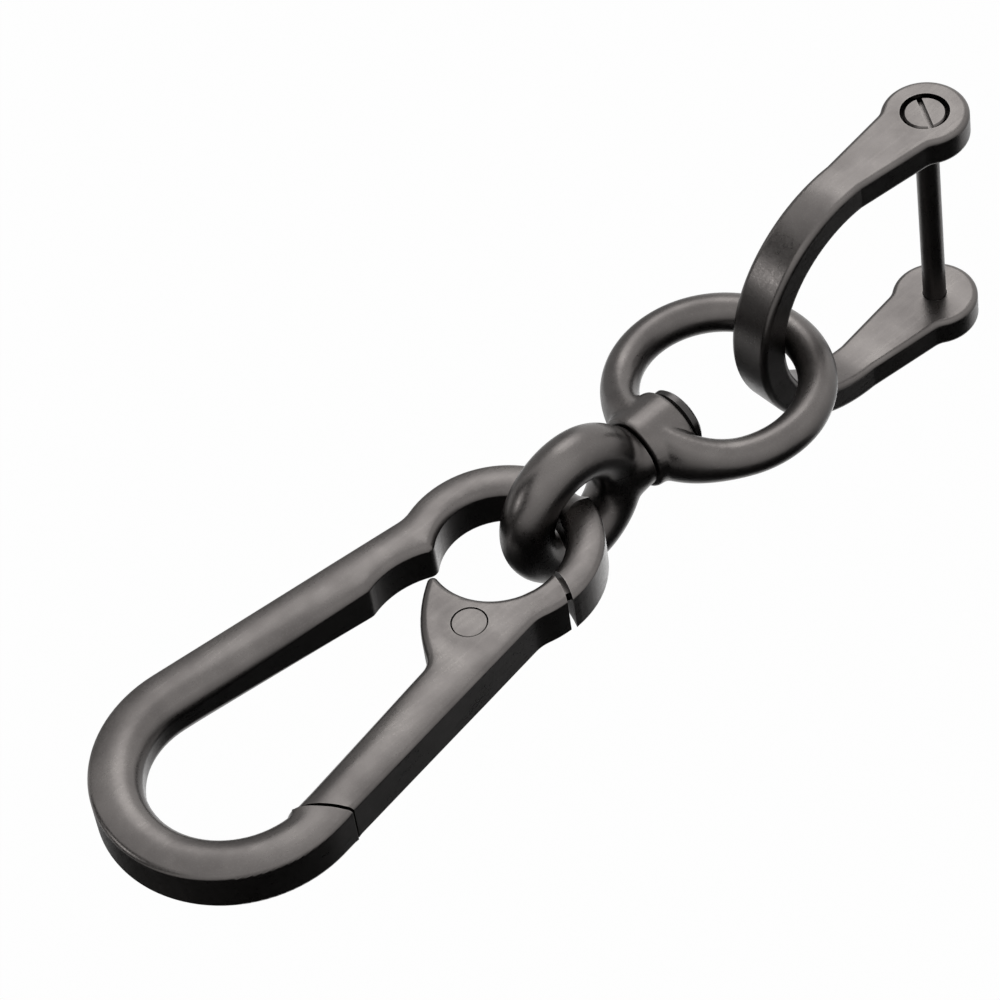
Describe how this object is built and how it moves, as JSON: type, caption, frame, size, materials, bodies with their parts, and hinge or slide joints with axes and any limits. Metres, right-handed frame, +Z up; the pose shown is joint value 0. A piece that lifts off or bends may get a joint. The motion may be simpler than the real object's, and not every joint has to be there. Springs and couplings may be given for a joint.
{
  "type": "belt key clip",
  "caption": "Belt key clip: pear-shaped hook with a sprung gate and a small eye, a swivel eye and ring, and a horseshoe shackle closed by a slotted screw.",
  "frame": {"origin": "the point inside the hook that a belt loop bears on, in the middle of the clip's thickness", "axes": "+Z up along the hanging chain, hook at the top; -Y towards the face with the pin end and the screw head; the gate on -X"},
  "size_m": [0.0278, 0.0308, 0.1167],
  "materials": {
    "cast_body": "satin black-nickel plating on cast zinc alloy",
    "cast_gate": "satin black-nickel plating on cast zinc alloy",
    "steel_pin": "satin black-nickel plating on steel",
    "spring_wire": "drawn spring steel",
    "cast_eye": "satin black-nickel plating on cast zinc alloy",
    "steel_rivet": "turned, black-nickel plating on steel",
    "cast_ring": "satin black-nickel plating on cast zinc alloy",
    "cast_shackle": "satin black-nickel plating on cast zinc alloy",
    "steel_screw": "satin black-nickel plating on steel"
  },
  "bodies": {
    "clip": {"clip_body": "cast_body"},
    "gate_lever": {"gate": "cast_gate", "gate_pivot_pin": "steel_pin", "gate_spring": "spring_wire"},
    "swivel": {"swivel_eye": "cast_eye", "swivel_rivet": "steel_rivet"},
    "ring": {"swivel_ring": "cast_ring"},
    "key_shackle": {"shackle": "cast_shackle"},
    "screw": {"shackle_screw": "steel_screw"}
  },
  "joints": [
    {"name": "gate_hinge", "type": "hinge", "parent": "clip", "child": "gate_lever", "pos_m": [-0.00524, 0, -0.03565], "axis": [0, 1, 0], "range_deg": [0, 22], "stiffness_Nm_per_rad": 0.12, "springref_deg": -20.05, "deforming": ["gate_spring"]},
    {"name": "swivel_pitch", "type": "hinge", "parent": "clip", "child": "swivel", "pos_m": [0, 0, -0.0532], "axis": [1, 0, 0], "range_deg": [-90, 90]},
    {"name": "ring_swivel", "type": "hinge", "parent": "swivel", "child": "ring", "pos_m": [0, 0, -0.0657], "axis": [0, 0, 1], "continuous": true},
    {"name": "shackle_pitch", "type": "hinge", "parent": "ring", "child": "key_shackle", "pos_m": [0, 0, -0.08545], "axis": [-1, 0, 0], "range_deg": [-90, 90]},
    {"name": "screw_slide", "type": "slide", "parent": "key_shackle", "child": "screw", "axis": [0, -1, 0], "range_m": [0, 0.0273]}
  ]
}
